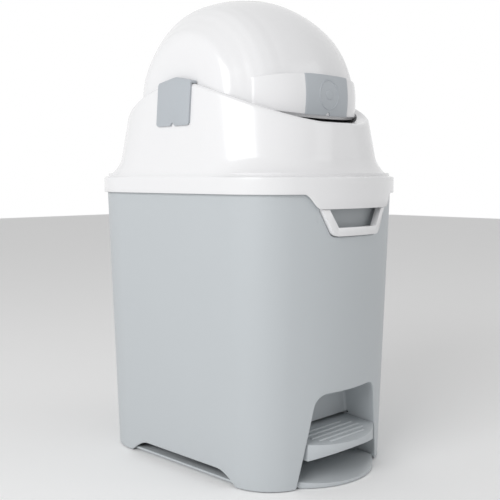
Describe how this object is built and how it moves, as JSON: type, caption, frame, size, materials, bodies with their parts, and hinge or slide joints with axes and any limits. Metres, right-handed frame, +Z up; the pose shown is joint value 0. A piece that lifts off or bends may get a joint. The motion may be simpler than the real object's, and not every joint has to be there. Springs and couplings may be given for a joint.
{
  "type": "nappy bin",
  "caption": "Free-standing pedal nappy bin: tapered oval bucket, hinged domed top with a turning drum that tips its load inside, side caps, handle band and lift-out bag ring.",
  "frame": {"origin": "on the floor, under the middle of the bin's plan and under the drum's axle", "axes": "+Z up, -Y towards the pedal and handle, +X to the right seen from behind the bin's back looking forward is left; +X is the side with the drive"},
  "size_m": [0.278, 0.378, 0.597],
  "materials": {
    "grey_shell": "satin moulded",
    "white_gloss": "gloss",
    "white_matte": "satin",
    "grey_trim": "satin",
    "gear_plastic": "satin",
    "pad_rubber": "matt",
    "seal_rubber": "matt",
    "steel": "bright"
  },
  "bodies": {
    "bin": {"bucket": "grey_shell", "bucket_floor": "grey_shell", "pedal_recess": "grey_shell", "hand_pocket": "grey_shell", "base_tray": "grey_shell", "foot_pad_1": "pad_rubber", "foot_pad_2": "pad_rubber", "foot_pad_3": "pad_rubber", "foot_pad_4": "pad_rubber", "base_screw_1": "steel", "base_screw_2": "steel", "base_screw_3": "steel", "base_screw_4": "steel", "pedal_axle": "steel", "pushrod_duct": "white_matte", "hinge_pin_left": "steel", "hinge_pin_right": "steel"},
    "pedal": {"pedal": "grey_shell"},
    "pushrod": {"pushrod": "steel"},
    "bag_ring": {"bag_ring": "white_gloss", "bag_ring_grip": "white_gloss"},
    "top_unit": {"collar": "white_gloss", "hinge_cap_left": "grey_trim", "hinge_cap_right": "grey_trim", "axle_bush_left": "gear_plastic", "axle_bush_right": "gear_plastic", "idler_pin": "steel", "rack_guide": "white_matte", "drum_seal_front": "seal_rubber", "drum_seal_rear": "seal_rubber"},
    "idler": {"idler_gear": "gear_plastic"},
    "rack": {"rack": "gear_plastic"},
    "drum": {"drum_shell": "white_gloss", "drum_end_left": "white_gloss", "drum_end_right": "white_gloss", "drum_pinion": "gear_plastic", "handle_band": "white_gloss", "handle_insert": "grey_trim"}
  },
  "joints": [
    {"name": "drum_turn", "type": "hinge", "parent": "top_unit", "child": "drum", "pos_m": [0, 0, 0.465], "axis": [-1, 0, 0], "range_deg": [0, 180]},
    {"name": "idler_turn", "type": "hinge", "parent": "top_unit", "child": "idler", "pos_m": [0, 0, 0.4335], "axis": [1, 0, 0], "range_deg": [0, 90]},
    {"name": "rack_lift", "type": "slide", "parent": "top_unit", "child": "rack", "axis": [0, 0, 1], "range_m": [0, 0.02357]},
    {"name": "pushrod_lift", "type": "slide", "parent": "bin", "child": "pushrod", "axis": [0, 0, 1], "range_m": [0, 0.02357]},
    {"name": "pedal_press", "type": "hinge", "parent": "bin", "child": "pedal", "pos_m": [0, -0.105, 0.045], "axis": [1, 0, 0], "range_deg": [0, 10.78], "stiffness_Nm_per_rad": 8, "springref_deg": -20.05},
    {"name": "top_unit_open", "type": "hinge", "parent": "bin", "child": "top_unit", "pos_m": [0, 0.184, 0.3475], "axis": [-1, 0, 0], "range_deg": [0, 95]},
    {"name": "bag_ring_lift", "type": "hinge", "parent": "bin", "child": "bag_ring", "pos_m": [0, 0.184, 0.3475], "axis": [-1, 0, 0], "range_deg": [0, 42.8]}
  ],
  "couplings": [
    {"joint": "idler_turn", "follows": "drum_turn", "ratio": 0.5},
    {"joint": "rack_lift", "follows": "drum_turn", "m_per_rad": 0.0075},
    {"joint": "pushrod_lift", "follows": "drum_turn", "m_per_rad": 0.0075},
    {"joint": "pedal_press", "follows": "drum_turn", "ratio": 0.059849},
    {"joint": "bag_ring_lift", "follows": "top_unit_open", "ratio": 0.45}
  ]
}
